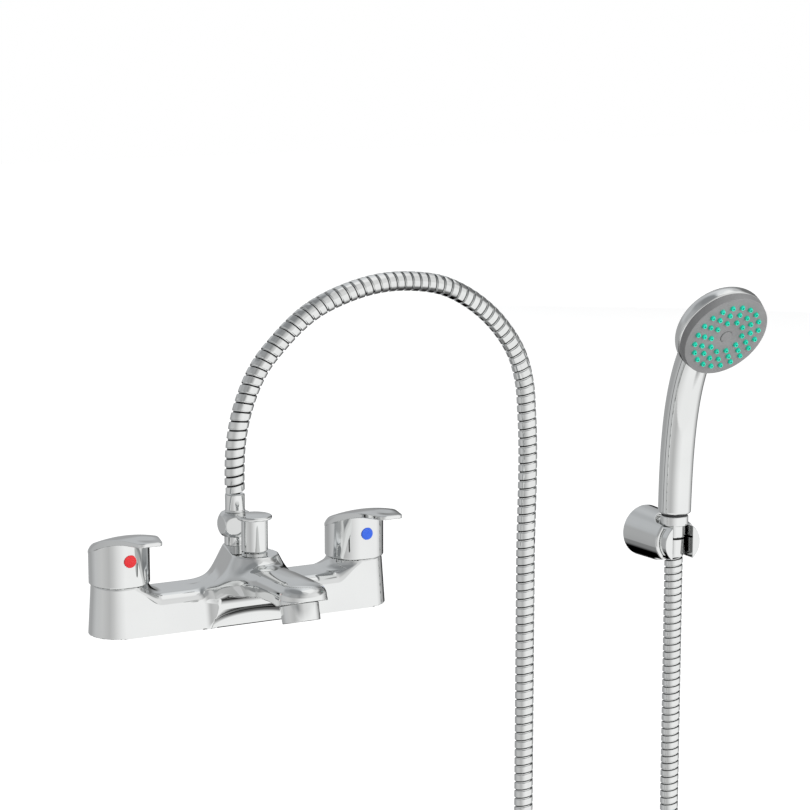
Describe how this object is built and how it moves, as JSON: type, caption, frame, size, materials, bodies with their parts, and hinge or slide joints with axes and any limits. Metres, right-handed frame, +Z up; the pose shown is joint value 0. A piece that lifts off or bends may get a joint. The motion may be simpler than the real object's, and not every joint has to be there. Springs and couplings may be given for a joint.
{
  "type": "bath shower mixer",
  "caption": "Deck bath filler with lever taps, pull-up diverter and spout, a ribbed hose to a handset, and the wall bracket the handset hangs in.",
  "frame": {"origin": "on the deck, midway between the two inlet pillars", "axes": "+X from the hot pillar to the cold pillar and on to the wall bracket, -Y to the front over the bath, +Z up"},
  "size_m": [0.5129, 0.1589, 0.7007],
  "materials": {
    "chrome": "polished chrome plate on brass",
    "hose_steel": "polished wound steel",
    "chromed_plastic": "chrome plate on moulded plastic",
    "black_rubber": "black rubber",
    "brass": "turned brass",
    "ceramic": "lapped ceramic",
    "steel": "plain steel",
    "red_plastic": "gloss red",
    "blue_plastic": "gloss blue",
    "white_plastic": "white plastic",
    "grey_plastic": "satin mid grey",
    "green_rubber": "soft sea-green rubber"
  },
  "bodies": {
    "fixed": {"mixer_body": "chrome", "hot_base_gasket": "black_rubber", "cold_base_gasket": "black_rubber", "hot_cartridge": "brass", "hot_fixed_disc": "ceramic", "hot_seat_seal": "black_rubber", "hot_o_ring": "black_rubber", "cold_cartridge": "brass", "cold_fixed_disc": "ceramic", "cold_seat_seal": "black_rubber", "cold_o_ring": "black_rubber", "diverter_gland": "brass", "diverter_o_ring": "black_rubber", "aerator_collar": "chrome", "aerator_insert": "white_plastic", "aerator_seal": "black_rubber", "outlet_nipple": "chrome", "outlet_washer": "black_rubber", "hose_nut": "chrome", "hose_ferrule": "chrome", "hose_tube": "hose_steel", "bracket_shell": "chrome", "bracket_fork": "chrome", "fork_screw": "steel", "wall_plate": "steel", "bracket_grub_screw": "steel"},
    "hot_handle": {"hot_handle": "chrome", "hot_index": "red_plastic", "hot_grub_screw": "steel", "hot_spindle": "brass", "hot_moving_disc": "ceramic"},
    "cold_handle": {"cold_handle": "chrome", "cold_index": "blue_plastic", "cold_grub_screw": "steel", "cold_spindle": "brass", "cold_moving_disc": "ceramic"},
    "diverter": {"diverter_knob": "chrome", "diverter_rod": "brass", "diverter_disc": "brass", "diverter_seals": "black_rubber"},
    "hose_end": {"hose_sleeve": "chrome", "hose_cone_nut": "chrome", "hose_washer": "black_rubber"},
    "handset": {"handset_body": "chromed_plastic", "handset_spigot": "brass", "handset_face": "grey_plastic", "nozzle_mat": "green_rubber", "face_seal": "black_rubber", "face_screw": "steel", "face_cap": "grey_plastic"}
  },
  "joints": [
    {"name": "hot_handle_turn", "type": "hinge", "parent": "fixed", "child": "hot_handle", "pos_m": [-0.09, 0, 0.035], "axis": [0, 0, 1], "range_deg": [0, 90]},
    {"name": "cold_handle_turn", "type": "hinge", "parent": "fixed", "child": "cold_handle", "pos_m": [0.09, 0, 0.035], "axis": [0, 0, -1], "range_deg": [0, 90]},
    {"name": "diverter_lift", "type": "slide", "parent": "fixed", "child": "diverter", "axis": [0, 0, 1], "range_m": [0, 0.01]},
    {"name": "handset_lift", "type": "slide", "parent": "fixed", "child": "hose_end", "axis": [0, 0, 1], "range_m": [0, 0.06], "deforming": ["hose_tube"]},
    {"name": "handset_swivel", "type": "hinge", "parent": "hose_end", "child": "handset", "pos_m": [0.365, 0, 0.037], "axis": [0, 0, 1], "range_deg": [-60, 60]}
  ]
}
